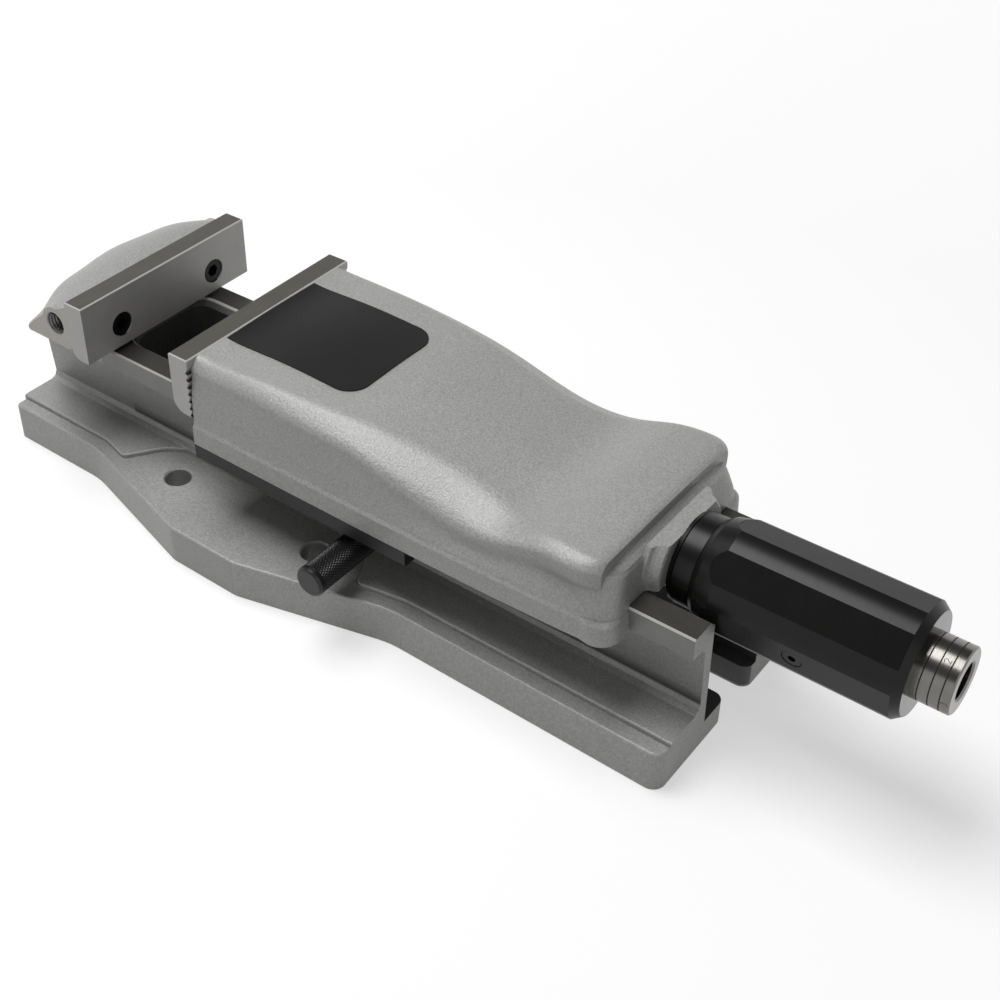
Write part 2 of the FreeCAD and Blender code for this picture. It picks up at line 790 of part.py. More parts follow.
# Spindle group about the raised axis
def spindle_screw():
    """Screw, groove for the retaining ring, neck and the head inside the housing."""
    profile = [
        (screw_start, 0.0),
        (screw_start, screw_radius - 1.5),
        (screw_start + 1.5, screw_radius),
        (neck_start - 1.0, screw_radius),
        (neck_start, neck_radius - 3.0),
        (wall_face, neck_radius - 3.0),
        (wall_face, neck_radius),
        (housing_start, neck_radius),
        (housing_start, housing_nose_radius - 2.0),
        (housing_start + 12.0, housing_nose_radius - 2.0),
        (housing_start + 12.0, 0.0),
    ]
    return turned(profile)


def retaining_ring():
    """Ring in the neck's groove that pulls the jaw back."""
    start = wall_face - loose_gap - ring_length
    ring = rod(start, start + ring_length, neck_radius + 3.0)
    return ring.cut(rod(start - 1.0, wall_face, neck_radius - 3.0))


def spindle_collar():
    """Collar with a fine groove between the boss and the housing."""
    face = foot_rear + boss_reach + loose_gap
    profile = [
        (face, neck_radius),
        (face, collar_radius - 0.8),
        (face + 1.6, collar_radius - 0.5),
        (face + 1.9, collar_radius - 1.0),
        (face + 2.2, collar_radius - 0.2),
        (housing_start - 0.4, collar_radius),
        (housing_start, collar_radius - 0.4),
        (housing_start, neck_radius),
    ]
    return turned(profile)


def thrust_washers():
    """Flat washer at the bottom of the bearing recess."""
    face = foot_rear + boss_reach - bearing_recess
    ring = rod(face, face + washer_thickness, bearing_radius)
    return ring.cut(rod(face - 1.0, face + 3.0, neck_radius + loose_gap))


def thrust_cage():
    """Cage of the thrust bearing."""
    face = foot_rear + boss_reach - bearing_recess + washer_thickness + slide_gap
    end = foot_rear + boss_reach + loose_gap
    ring = rod(face, end, bearing_radius)
    return ring.cut(rod(face - 1.0, end + 1.0, neck_radius))


def housing():
    """Booster housing with six flats, open towards the setting sleeve."""
    inner = housing_nose_radius - 2.0
    bore = housing_bore / 2.0
    sleeve_from = sleeve_end - sleeve_length - 12.5
    profile = [
        (housing_start, inner),
        (housing_start, housing_nose_radius),
        (housing_start + 2.4, housing_nose_radius + 1.7),
        (housing_full, housing_radius),
        (housing_shoulder, housing_radius),
        (housing_end, housing_tail_radius),
        (housing_end, sleeve_radius + running_gap),
        (sleeve_from, sleeve_radius + running_gap),
        (sleeve_from, bore),
        (housing_start + 12.0, bore),
        (housing_start + 12.0, inner),
    ]
    body = turned(profile)
    half = housing_flats / 2.0
    for i in range(6):
        cutter = box(housing_full - 3.5, housing_shoulder + 0.2, half, half + 10.0, -30.0, 30.0)
        cutter.rotate(V(0, 0, 0), V(1, 0, 0), 135.0 + 60.0 * i)
        cutter.translate(V(0, 0, axis_height))
        body = body.cut(cutter)
    plug_hole = plug_shape(oil_plug_radius + loose_gap, 3.0, 6.0)
    return body.cut(plug_hole)


def plug_shape(radius, depth, over):
    """Short cylinder that points out of the lower near flat of the housing."""
    angle = math.radians(-15.0)
    out = V(0, -math.cos(angle), math.sin(angle))
    start = V(oil_plug_x, 0, axis_height) + out * (housing_flats / 2.0 - depth)
    return Part.makeCylinder(radius, depth + over, start, out)


def oil_plug():
    """Small plug with a socket, set into the flat."""
    body = plug_shape(oil_plug_radius, 2.6, -0.2)
    return body.cut(plug_shape(1.6, 1.6, 1.0))


def booster_piston():
    """Piston inside the housing that the disc springs press on."""
    head_end = piston_start + piston_length
    profile = [
        (piston_start, 0.0),
        (piston_start, housing_bore / 2.0 - 2.0),
        (piston_start + 1.0, housing_bore / 2.0 - running_gap),
        (head_end, housing_bore / 2.0 - running_gap),
        (head_end, 8.0),
        (head_end + spring_count * spring_pitch + 3.5, 8.0),
        (head_end + spring_count * spring_pitch + 3.5, 0.0),
    ]
    return turned(profile)


def disc_springs():
    """Stack of dished rings, each turned the other way round."""
    discs = []
    for i in range(spring_count):
        x = piston_start + piston_length + 0.4 + spring_pitch * i
        inner, outer = (0.0, 1.4) if i % 2 == 0 else (1.4, 0.0)
        profile = [
            (x + inner, 8.6),
            (x + inner + 1.8, 8.6),
            (x + outer + 1.8, housing_bore / 2.0 - 0.8),
            (x + outer, housing_bore / 2.0 - 0.8),
        ]
        discs.append(turned(profile))
    return Part.makeCompound(discs)


def clutch_ring():
    """Ring behind the springs that lets the drive slip at the set force."""
    x0 = piston_start + piston_length + 0.8 + spring_count * spring_pitch
    ring = rod(x0, x0 + clutch_length, housing_bore / 2.0 - 0.6)
    return ring.cut(rod(x0 - 1.0, x0 + clutch_length + 1.0, sleeve_bore + loose_gap))


def drive_shaft():
    """Turned shaft inside the sleeve with the hexagon socket for the key."""
    x0 = piston_start + piston_length + spring_count * spring_pitch + 4.5
    body = rod(x0, drive_end, sleeve_bore - running_gap)
    shoulder = rod(x0 + shoulder_start, x0 + shoulder_start + shoulder_length, shoulder_radius)
    socket = hexagon(hex_across, drive_end - hex_depth, drive_end + 1.0)
    return body.fuse(shoulder).cut(socket).removeSplitter()


def setting_sleeve():
    """Sleeve with three setting grooves that slides into the housing."""
    x0 = sleeve_end - sleeve_length
    profile = [
        (x0, sleeve_bore),
        (x0, sleeve_radius),
        (sleeve_end - 0.6, sleeve_radius),
        (sleeve_end, sleeve_radius - 0.6),
        (sleeve_end, 8.6),
        (sleeve_end - 0.8, 7.8),
        (sleeve_end - 3.0, 7.8),
        (sleeve_end - 3.0, sleeve_bore),
    ]
    body = turned(profile)
    for i in range(3):
        x = groove_first + groove_pitch * i
        outer = rod(x, x + groove_width, sleeve_radius + 1.0)
        inner = rod(x - 1.0, x + groove_width + 1.0, sleeve_radius - groove_depth)
        body = body.cut(outer.cut(inner))
    return body


# Nut in the channel and the pin that holds it
def spindle_nut():
    """Nut that stands in the channel and is held there by the pin."""
    x0 = nut_middle - nut_length / 2.0
    x1 = nut_middle + nut_length / 2.0
    half = channel_floor_width / 2.0 - 0.2
    lower = box(x0, x1, -half, half, nut_bottom, rail_top - 6.5)
    neck = box(x0, x1, -half + 1.5, half - 1.5, nut_bottom + 10.0, axis_height - 1.0)
    upper = rod(x0, x1, screw_radius + nut_wall)
    body = lower.fuse([neck, upper])
    body = body.cut(rod(x0 - 1.0, x1 + 1.0, screw_radius + running_gap))
    return body.cut(pin_bore()).removeSplitter()


def locking_pin():
    """Pin through the web, the nut and the far web."""
    start = V(pin_x, -knob_end + 2.0, pin_height)
    body = Part.makeCylinder(pin_radius, knob_end - 2.0 + pin_inner_end, start, V(0, 1, 0))
    end = [e for e in body.Edges if e.BoundBox.YMin > pin_inner_end - 0.1]
    return body.makeChamfer(1.2, end)


def pin_knob():
    """Round knob on the near end of the pin."""
    start = V(pin_x, -knob_end, pin_height)
    body = Part.makeCylinder(knob_radius, knob_end - knob_start, start, V(0, 1, 0))
    body = body.makeChamfer(1.3, [e for e in body.Edges if e.BoundBox.YMax < -knob_end + 0.1])
    bore = Part.makeCylinder(pin_radius, knob_end, V(pin_x, -knob_end + 2.0, pin_height), V(0, 1, 0))
    return body.cut(bore)


skin = casting_skin()
save("base_body", base_body())
save("fixed_jaw_plate", fixed_jaw_plate())
save("moving_jaw_plate", moving_jaw_plate())
save("fixed_jaw_screws", socket_screw(-plate_screw_sunk, -1.0, plate_screw_length))
save("moving_jaw_screws", socket_screw(jaw_gap + plate_screw_sunk, 1.0, plate_screw_length))
save("moving_jaw", moving_jaw(skin))
save("keeper_near", keeper(-1.0))
save("keeper_far", keeper(1.0))
save("keeper_screws", keeper_screws())
save("info_plate", info_plate(skin))
save("spindle_screw", spindle_screw())
save("retaining_ring", retaining_ring())
save("spindle_collar", spindle_collar())
save("thrust_washer", thrust_washers())
save("thrust_cage", thrust_cage())
save("booster_housing", housing())
save("oil_plug", oil_plug())
save("booster_piston", booster_piston())
save("disc_springs", disc_springs())
save("clutch_ring", clutch_ring())
save("drive_shaft", drive_shaft())
save("setting_sleeve", setting_sleeve())
save("spindle_nut", spindle_nut())
save("locking_pin", locking_pin())
save("pin_knob", pin_knob())
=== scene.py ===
# %% [markdown]
# # A machine vise with a power spindle
# The vise has two grey castings, ground steel jaw plates, a black power spindle and a bright
# setting sleeve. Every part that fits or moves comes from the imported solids, and this script
# adds the finishes, the threads, the knurl and the engraved figures.
# The scene is in metres, and the object stands on the plane z = 0 with its jaws along +X. Masks
# and added surfaces are worked out in millimetres.

import json
import math

import bmesh
import bpy
import numpy as np
from mathutils import Matrix

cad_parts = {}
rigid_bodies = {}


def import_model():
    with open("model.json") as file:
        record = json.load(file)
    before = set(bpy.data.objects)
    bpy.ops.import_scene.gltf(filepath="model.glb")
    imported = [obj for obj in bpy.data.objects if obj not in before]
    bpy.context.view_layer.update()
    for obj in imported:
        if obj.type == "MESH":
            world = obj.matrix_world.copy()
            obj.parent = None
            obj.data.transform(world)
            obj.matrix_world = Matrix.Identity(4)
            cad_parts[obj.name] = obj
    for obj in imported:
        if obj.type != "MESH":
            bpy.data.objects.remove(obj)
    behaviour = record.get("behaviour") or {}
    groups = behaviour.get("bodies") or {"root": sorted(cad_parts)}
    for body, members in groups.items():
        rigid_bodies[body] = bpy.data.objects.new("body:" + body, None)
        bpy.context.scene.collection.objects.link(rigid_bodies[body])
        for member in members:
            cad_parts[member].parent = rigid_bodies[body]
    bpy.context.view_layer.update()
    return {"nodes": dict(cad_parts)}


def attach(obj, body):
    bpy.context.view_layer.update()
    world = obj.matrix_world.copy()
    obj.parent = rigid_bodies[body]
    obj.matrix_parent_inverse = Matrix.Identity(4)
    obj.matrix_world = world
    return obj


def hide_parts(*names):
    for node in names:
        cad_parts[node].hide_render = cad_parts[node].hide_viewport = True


for item in list(bpy.data.objects):
    bpy.data.objects.remove(item)
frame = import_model()


nodes = frame["nodes"]

# %% [markdown]
# ## Shader arithmetic
# A finish on a casting is mostly arithmetic on positions: where is the surface machined, where
# is it painted. Node trees made one node at a time hide that arithmetic. So one small class
# wraps a socket and lets Python's own operators add the Math nodes.

# %% A number in a shader, and a material being written


class Number:
    """A socket that carries a number. Arithmetic on it adds Math nodes to its material."""

    def __init__(self, finish, socket):
        self.finish = finish
        self.socket = socket

    def math(self, operation, *others):
        """A Math node with this number first."""
        return self.finish.math(operation, self, *others)

    def __add__(self, other):
        return self.math("ADD", other)

    def __radd__(self, other):
        return self.math("ADD", other)

    def __sub__(self, other):
        return self.math("SUBTRACT", other)

    def __rsub__(self, other):
        return self.finish.math("SUBTRACT", other, self)

    def __mul__(self, other):
        return self.math("MULTIPLY", other)

    def __rmul__(self, other):
        return self.math("MULTIPLY", other)

    def __truediv__(self, other):
        return self.math("DIVIDE", other)

    def __abs__(self):
        return self.math("ABSOLUTE")

    def above(self, level, soft):
        """0 below the level and 1 above it, with a straight ramp of the given width."""
        return ((self - level) / soft + 0.5).clamp()

    def below(self, level, soft):
        """1 below the level and 0 above it."""
        return 1 - self.above(level, soft)

    def between(self, low, high, soft):
        """1 from one level to the other and 0 outside them."""
        return self.above(low, soft) * self.below(high, soft)

    def clamp(self):
        """This number, held between 0 and 1."""
        node = self.finish.node("ShaderNodeClamp", {}, {"Value": self})
        return Number(self.finish, node.outputs[0])

    def either(self, other):
        """The larger of two masks."""
        return self.math("MAXIMUM", other)


class Finish:
    """A material whose nodes are written as expressions."""

    def __init__(self, name):
        self.material = bpy.data.materials.new(name)
        self.material.use_nodes = True
        self.tree = self.material.node_tree
        self.tree.nodes.clear()
        self.output = self.tree.nodes.new("ShaderNodeOutputMaterial")

    def node(self, kind, settings, values):
        """Adds a node: its settings first, then a value or a link for each named socket."""
        node = self.tree.nodes.new(kind)
        for key, value in settings.items():
            setattr(node, key, value)
        for key, value in values.items():
            self.put(node.inputs[key], value)
        return node

    def put(self, socket, value):
        """Links a number or an output to a socket, or sets a plain value on it."""
        if isinstance(value, Number):
            self.tree.links.new(value.socket, socket)
        elif isinstance(value, bpy.types.NodeSocket):
            self.tree.links.new(value, socket)
        elif isinstance(value, tuple) and socket.type == "RGBA" and len(value) == 3:
            socket.default_value = (*value, 1.0)
        else:
            socket.default_value = value

    def math(self, operation, *values):
        """A Math node on numbers and plain values."""
        node = self.node("ShaderNodeMath", {"operation": operation}, dict(enumerate(values)))
        return Number(self, node.outputs[0])

    def place(self):
        """The three Object coordinates, in millimetres."""
        coordinates = self.node("ShaderNodeTexCoord", {}, {})
        parts = self.node("ShaderNodeSeparateXYZ", {}, {"Vector": coordinates.outputs["Object"]})
        return [Number(self, parts.outputs[i]) * 1000.0 for i in range(3)]

    def facing(self):
        """The three parts of the surface's own direction."""
        coordinates = self.node("ShaderNodeTexCoord", {}, {})
        parts = self.node("ShaderNodeSeparateXYZ", {}, {"Vector": coordinates.outputs["Normal"]})
        return [Number(self, parts.outputs[i]) for i in range(3)]

    def grain(self, size, detail=2.0, stretch=(1.0, 1.0, 1.0), rough=0.5):
        """Noise with cells of about `size` millimetres, drawn out along the axes by `stretch`."""
        coordinates = self.node("ShaderNodeTexCoord", {}, {})
        scale = tuple(1000.0 / size / s for s in stretch)
        spread = self.node(
            "ShaderNodeMapping", {}, {"Vector": coordinates.outputs["Object"], "Scale": scale}
        )
        noise = self.node(
            "ShaderNodeTexNoise",
            {"noise_dimensions": "3D"},
            {"Vector": spread.outputs[0], "Scale": 1.0, "Detail": detail, "Roughness": rough},
        )
        return Number(self, noise.outputs[0])

    def blend(self, factor, first, second):
        """Colour `first` where the factor is 0 and `second` where it is 1."""
        node = self.node("ShaderNodeMix", {"data_type": "RGBA"}, {})
        self.put(node.inputs["Factor"], factor)
        self.put(node.inputs[6], first)
        self.put(node.inputs[7], second)
        return node.outputs[2]

    def bump(self, height, distance):
        """A surface direction bent by a height from 0 to 1 that stands for `distance` metres."""
        values = {"Height": height, "Distance": distance, "Strength": 1.0}
        return self.node("ShaderNodeBump", {}, values).outputs[0]

    def surface(self, **sockets):
        """The shader itself. Names are those of its sockets, with _ for a space."""
        values = {key.replace("_", " "): value for key, value in sockets.items()}
        shader = self.node("ShaderNodeBsdfPrincipled", {}, values)
        self.tree.links.new(shader.outputs[0], self.output.inputs[0])
        return self.material


def dress(node_names, material):
    """Gives CAD nodes a finish."""
    for name in node_names:
        data = nodes[name].data
        data.materials.clear()
        data.materials.append(material)
    print(material.name, "on", ", ".join(node_names))


# %% [markdown]
# ## The painted castings
# The real castings carry a silver-grey hammer paint: small soft dimples about a millimetre
# apart, with a half-gloss film over them. It could be sculpted, but no outline shows it, so a
# bump made from two sizes of noise is enough. Machined places are bare iron, painted darker on
# the tops and the head sides as painted shade and paler on the stop faces as painted light.
# They all lie on known planes, so each one is a mask on Object coordinates. The screw channel
# is painted dark as painted shade.

# %% Hammer paint and bare machined iron

PAINT = (0.345, 0.349, 0.336)
# Bare iron in three tones: darkest on the rail tops and darker on the head sides as painted shade,
# paler on the stop faces as painted light.
TOP_IRON_PAINTED_SHADE = (0.075, 0.073, 0.067)
SIDE_IRON_PAINTED_SHADE = (0.195, 0.195, 0.189)
STOP_IRON_PAINTED_LIGHT = (0.43, 0.41, 0.37)
# A dark colour for the screw channel and arch: painted shade.
DARK_PAINTED_SHADE = (0.07, 0.07, 0.068)
# Paler bevels of bare iron: rubbed wear and a painted highlight.
RUBBED_IRON_AND_HIGHLIGHT = (0.5, 0.49, 0.46)
HAMMER_DEPTH = 0.00034

# Where the machined faces lie, as heights and as distances from the middle plane. The last is
# the width of a sharp mask's edge.
STOP_LEVEL = 74.0
RAIL_TOP = (71.15, 72.2)
RAIL_HEAD = (60.9, 72.1)
HEAD_SIDE = (39.3, 39.7)
STOP_SIDE = 56.45
PAD_SIDE = 77.93
CHANNEL_SIDE = 27.7
SHARP = 0.04


def slanting(finish):
    """1 on bevels and rounded edges, and 0 on faces that look along X, Y or Z."""
    across, along, up = (abs(part) for part in finish.facing())
    return across.either(along).either(up).below(0.93, 0.06)


def casting_finish(name, machined):
    """Paint where both masks are 0, bare ground iron where the first is 1, and a dark colour,
    painted shade, where the second is 1. The bare iron is painted darker on tops and head sides
    and paler on the stop faces, as painted shade and light.

    `machined` gets the place in millimetres and the direction, and returns the two masks.
    """
    finish = Finish(name)
    facing = finish.facing()
    place = finish.place()
    bare, channel_painted_shade = machined(place, facing)
    stop_painted_light = place[2].above(STOP_LEVEL, 0.2)
    dimples = finish.grain(0.95, detail=3.0, rough=0.65)
    waves = finish.grain(4.0, detail=1.0)
    scratches = finish.grain(0.35, detail=2.0, stretch=(14.0, 1.0, 1.0))
    patches = finish.grain(9.0, detail=2.0)
    speckle = ((dimples - 0.38) * 4.0).clamp()
    paint = finish.blend(speckle, tuple(0.84 * c for c in PAINT), tuple(1.14 * c for c in PAINT))
    # Painted shade and light on bare iron: tops darkest, sides below the stop level darker, stop
    # faces paler.
    side_not_shaded_top = facing[2].below(0.9, SHARP)
    sides_painted_light_and_shade = finish.blend(stop_painted_light, SIDE_IRON_PAINTED_SHADE, STOP_IRON_PAINTED_LIGHT)
    iron_painted_light_shade = finish.blend(side_not_shaded_top, TOP_IRON_PAINTED_SHADE, sides_painted_light_and_shade)
    wear = scratches * 0.6 + patches * 0.4
    shade = finish.blend(wear, (0.72, 0.72, 0.72), (1.28, 1.28, 1.28))
    shaded = finish.node("ShaderNodeVectorMath", {"operation": "MULTIPLY"}, {0: iron_painted_light_shade, 1: shade})
    iron_painted_light_shade = shaded.outputs[0]
    height = (dimples * 0.75 + waves * 0.25) * (1 - bare) + scratches * bare * 0.04
    # Bevels of bare iron painted paler: rubbed wear and a painted highlight.
    rubbed_and_highlight = finish.blend(bare * slanting(finish), iron_painted_light_shade, RUBBED_IRON_AND_HIGHLIGHT)
    return finish.surface(
        # Painted shade: the second mask paints the channel and arch dark.
        Base_Color=finish.blend(channel_painted_shade, finish.blend(bare, paint, rubbed_and_highlight), DARK_PAINTED_SHADE),
        Metallic=0.2 + bare * (0.58 - side_not_shaded_top * 0.45),
        Specular_IOR_Level=0.6,
        Roughness=0.42 + (dimples - 0.5) * 0.12 + scratches * bare * 0.08,
        Normal=finish.bump(height, HAMMER_DEPTH),
    )


def machined_bed(place, facing):
    """Rail tops, the sides of their heads, the stop faces, the lobes' pads and the underside are
    ground. The screw channel is painted dark, as painted shade."""
    x, y, z = place
    side = abs(y)
    flat_side = abs(facing[1]).above(0.9, SHARP)
    rail_top = z.between(*RAIL_TOP, SHARP) * facing[2].above(0.6, SHARP)
    rail_top = rail_top * side.below(HEAD_SIDE[1], SHARP)
    head_side = side.between(*HEAD_SIDE, SHARP) * z.between(*RAIL_HEAD, 0.1) * flat_side
    stop_face = side.above(STOP_SIDE, SHARP) * z.above(70.0, 0.1) * flat_side
    pad = side.above(PAD_SIDE, SHARP) * flat_side
    underside = z.below(0.05, SHARP)
    rail = rail_top.either(head_side) * x.above(-11.8, 0.2)
    channel = side.below(CHANNEL_SIDE, 0.4) * z.between(1.0, 70.9, 0.4)
    channel = channel * x.above(-6.5, 0.4) * x.below(329.8, 0.1)
    return rail.either(stop_face).either(pad * 0.25).either(underside), channel


def machined_jaw(place, facing):
    """The moving jaw is ground where it slides on the rails, and painted dark in its screw arch as
    painted shade.
    """
    x, y, z = place
    slide = z.below(72.4, 0.1) * facing[2].below(-0.9, SHARP)
    arch = abs(y).below(CHANNEL_SIDE, 0.4) * x.between(72.0, 280.0, 0.4) * z.below(88.0, 0.4)
    return slide, arch


dress(["base_body"], casting_finish("casting bed", machined_bed))
dress(["moving_jaw"], casting_finish("casting jaw", machined_jaw))

# %% [markdown]
# ## Ground and turned steel
# Ground steel shows fine parallel lines, and its gloss breaks up along them. One noise drawn out
# along the grinding direction gives both the tint and the roughness. One function serves the
# keepers, the nut, the pin and the screw, with another colour and another direction. The jaw
# plates have their own, with their tops painted darker than their faces and ends as painted
# shade, and their bevels painted paler as rubbed wear and a painted highlight.

# %% Ground steel, turned steel and black steel

LINE_CONTRAST = 0.25
LINE_DEPTH = 0.00002


def steel_finish(name, colour, roughness, stretch, metal=1.0, **more):
    """Metal with fine parallel lines, which change its colour by LINE_CONTRAST."""
    finish = Finish(name)
    scratches = finish.grain(0.4, detail=3.0, stretch=stretch, rough=0.6)
    patches = finish.grain(12.0, detail=2.0)
    dark = tuple(c * (1 - LINE_CONTRAST) for c in colour)
    light = tuple(c * (1 + LINE_CONTRAST) for c in colour)
    return finish.surface(
        Base_Color=finish.blend(scratches * 0.65 + patches * 0.35, dark, light),
        Metallic=metal,
        Roughness=roughness + (scratches - 0.5) * 0.16,
        Normal=finish.bump(scratches, LINE_DEPTH),
        **more,
    )


def plain_finish(name, colour, roughness, metal, **more):
    """One even colour and gloss all over."""
    return Finish(name).surface(Base_Color=colour, Metallic=metal, Roughness=roughness, **more)


def plate_steel_finish():
    """Ground plates: tops painted dark and glossy as painted shade, faces and ends paler, and the
    bevels painted pale as rubbed wear and a painted highlight.
    """
    finish = Finish("ground plate")
    # Painted shade: the tops get a darker colour than the faces and ends.
    top_painted_shade = abs(finish.facing()[2]).above(0.93, SHARP)
    scratches = finish.grain(0.4, detail=3.0, stretch=(1.0, 30.0, 1.0), rough=0.6)
    patches = finish.grain(12.0, detail=2.0)
    wear = scratches * 0.6 + patches * 0.4
    sides_painted_light_and_shade = finish.blend(wear, (0.36, 0.356, 0.342), (0.5, 0.495, 0.48))
    wear = scratches * 0.5 + patches * 0.5
    top_colour_painted_shade = finish.blend(wear, (0.1, 0.093, 0.08), (0.155, 0.148, 0.132))
    ground = finish.blend(top_painted_shade, sides_painted_light_and_shade, top_colour_painted_shade)
    # Bevels painted pale: rubbed wear and a painted highlight.
    return finish.surface(
        Base_Color=finish.blend(slanting(finish), ground, (0.62, 0.61, 0.59)),
        Metallic=0.35 + top_painted_shade * 0.4,
        Roughness=0.5 - top_painted_shade * 0.12 + (scratches - 0.5) * 0.14,
        Normal=finish.bump(scratches, LINE_DEPTH),
    )


dress(["fixed_jaw_plate", "moving_jaw_plate"], plate_steel_finish())
keeper_black = (0.01, 0.01, 0.01)
keeper_steel = steel_finish(
    "keeper steel", keeper_black, 0.45, (24.0, 1.0, 1.0), 0.0, Specular_IOR_Level=0.25
)
dress(["keeper_near", "keeper_far"], keeper_steel)
milled_steel = steel_finish("milled steel", (0.42, 0.42, 0.42), 0.36, (8.0, 1.0, 1.0))
dress(["spindle_nut", "locking_pin"], milled_steel)
turned_steel = plain_finish("turned steel", (0.5, 0.5, 0.5), 0.3, 1.0)
dress(["thrust_washer", "clutch_ring", "retaining_ring"], turned_steel)
spring_steel = plain_finish("spring steel", (0.35, 0.34, 0.32), 0.3, 1.0)
dress(["booster_piston", "disc_springs"], spring_steel)
dress(["thrust_cage"], plain_finish("bearing brass", (0.72, 0.52, 0.22), 0.3, 1.0))
screw_black = plain_finish("black screw", (0.005, 0.005, 0.005), 0.42, 0.0, Specular_IOR_Level=0.2)
dress(["fixed_jaw_screws", "moving_jaw_screws", "keeper_screws", "drive_shaft"], screw_black)
dress(["spindle_screw"], steel_finish("spindle steel", (0.34, 0.34, 0.34), 0.3, (1.0, 8.0, 8.0)))

# %% [markdown]
# ## The black power spindle
# Collar and housing are turned and blackened: nearly black, satin and slightly warm. The end
# face is bare and glossier, so the finish changes by the distance along the spindle. The oil
# plug takes the same black.

# %% Blackened housing with its bare end face

HOUSING_END = 404.2


def housing_finish():
    """Black turned steel that is bare metal on the end face."""
    finish = Finish("blackened housing")
    x = finish.place()[0]
    turning = finish.grain(0.5, detail=2.0, stretch=(1.0, 20.0, 20.0))
    patches = finish.grain(14.0, detail=2.0)
    end = x.above(HOUSING_END - 0.06, 0.05) * finish.facing()[0].above(0.8, 0.1)
    black = finish.blend(patches, (0.004, 0.004, 0.004), (0.0075, 0.0074, 0.007))
    return finish.surface(
        Base_Color=finish.blend(end, black, (0.03, 0.03, 0.03)),
        Metallic=end,
        Roughness=0.31 + (turning - 0.5) * 0.12 - end * 0.16,
        Specular_IOR_Level=0.22,
        Normal=finish.bump(turning, 0.00001),
    )


dress(["booster_housing", "spindle_collar", "oil_plug"], housing_finish())

# %% [markdown]
# ## The bright setting sleeve
# The sleeve is polished steel with three narrow grooves filled with black. The grooves are cut
# in the solid. Here they only need their colour, which is a mask on the distance along X.

# %% Polished sleeve with black grooves

AXIS = 74.5
SLEEVE_RADIUS = 14.0
GROOVES = (406.4, 410.65, 414.9)
GROOVE_WIDTH = 0.5


def sleeve_finish():
    """Bright turned steel, with each groove of the outer surface black."""
    finish = Finish("polished sleeve")
    x, y, z = finish.place()
    radius = ((z - AXIS) * (z - AXIS) + y * y).math("SQRT")
    first, second, third = (x.between(start, start + GROOVE_WIDTH, 0.05) for start in GROOVES)
    groove = first.either(second).either(third) * radius.above(9.0, 0.1)
    turning = finish.grain(0.3, detail=2.0, stretch=(1.0, 30.0, 30.0))
    steel = finish.blend(turning, (0.15, 0.144, 0.132), (0.2, 0.193, 0.18))
    return finish.surface(
        Base_Color=finish.blend(groove, steel, (0.01, 0.01, 0.01)),
        Metallic=1 - groove,
        Roughness=0.24 + groove * 0.36,
        Normal=finish.bump(turning, 0.000008),
    )


dress(["setting_sleeve"], sleeve_finish())

# %% [markdown]
# ## The bare black plate
# A thin black plate lies on the moving jaw. Anodised aluminium is nearly black and satin, with a
# very fine brushed grain that only its gloss shows, so the grain changes the roughness and the
# colour stays even.

# %% Bare black plate


def bare_plate_finish():
    """Nearly black, with a fine grain in its gloss."""
    finish = Finish("black plate")
    brushed = finish.grain(0.25, detail=2.0, stretch=(1.0, 24.0, 1.0))
    cloud = finish.grain(16.0, detail=1.0)
    return finish.surface(
        Base_Color=finish.blend(cloud, (0.005, 0.005, 0.005), (0.0085, 0.0085, 0.0082)),
        Roughness=0.4 + (brushed - 0.5) * 0.12,
        Specular_IOR_Level=0.25,
    )


dress(["info_plate"], bare_plate_finish())

# %% [markdown]
# ## Surfaces on a grid
# The pieces that the script adds are all surfaces of two parameters. One helper turns a grid of
# points into a mesh. A closed grid joins its last column to its first, so that no seam opens.
# A row of points at one place is a pole: they are merged to a single point.

# %% A mesh from a grid of points

MERGE_METRES = 0.0000005


def grid_piece(name, points, close_columns=False, smooth=True):
    """Makes a mesh from points[row, column]. Faces join each point to the next row and column."""
    rows, columns = points.shape[:2]
    index = np.arange(rows * columns).reshape(rows, columns)
    if close_columns:
        index = np.concatenate([index, index[:, :1]], 1)
    corners = [index[:-1, :-1], index[:-1, 1:], index[1:, 1:], index[1:, :-1]]
    faces = np.stack(corners, -1).reshape(-1, 4)
    mesh = bpy.data.meshes.new(name)
    mesh.from_pydata(points.reshape(-1, 3).tolist(), [], faces.tolist())
    work = bmesh.new()
    work.from_mesh(mesh)
    bmesh.ops.remove_doubles(work, verts=work.verts, dist=MERGE_METRES)
    work.to_mesh(mesh)
    work.free()
    mesh.polygons.foreach_set("use_smooth", np.full(len(mesh.polygons), smooth))
    mesh.update()
    piece = bpy.data.objects.new(name, mesh)
    bpy.context.scene.collection.objects.link(piece)
    print(name, len(mesh.polygons), "faces")
    return piece


# %% [markdown]
# ## The knurled pull knob
# The locking pin ends in a black knob with a diamond knurl between a plain rim and a plain back.
# A knurl is two families of slanted grooves that cross. The cut is as deep as the larger of two
# zigzag waves, one that winds left and one that winds right, so diamonds with sharp tips remain.
# The knob is a profile turned about its axis, and that cut is taken off the radius.

# %% Knob surface

PIN = (163.7, 37.7)
KNOB_RADIUS = 7.5
KNOB_BACK = -38.0
KNOB_END = -80.0
KNURL_COUNT = 34
KNURL_DEPTH = 0.42
KNURL_SLOPE = 0.62
KNURL_ROWS = 190
KNURL_COLUMNS = 340
BORE_RADIUS = 6.05
BORE_BOTTOM = 2.0


def zigzag(turns):
    """A wave of height 0 to 1 with straight flanks: how far a number is from the nearest whole."""
    return 2.0 * np.abs(turns - np.floor(turns + 0.5))


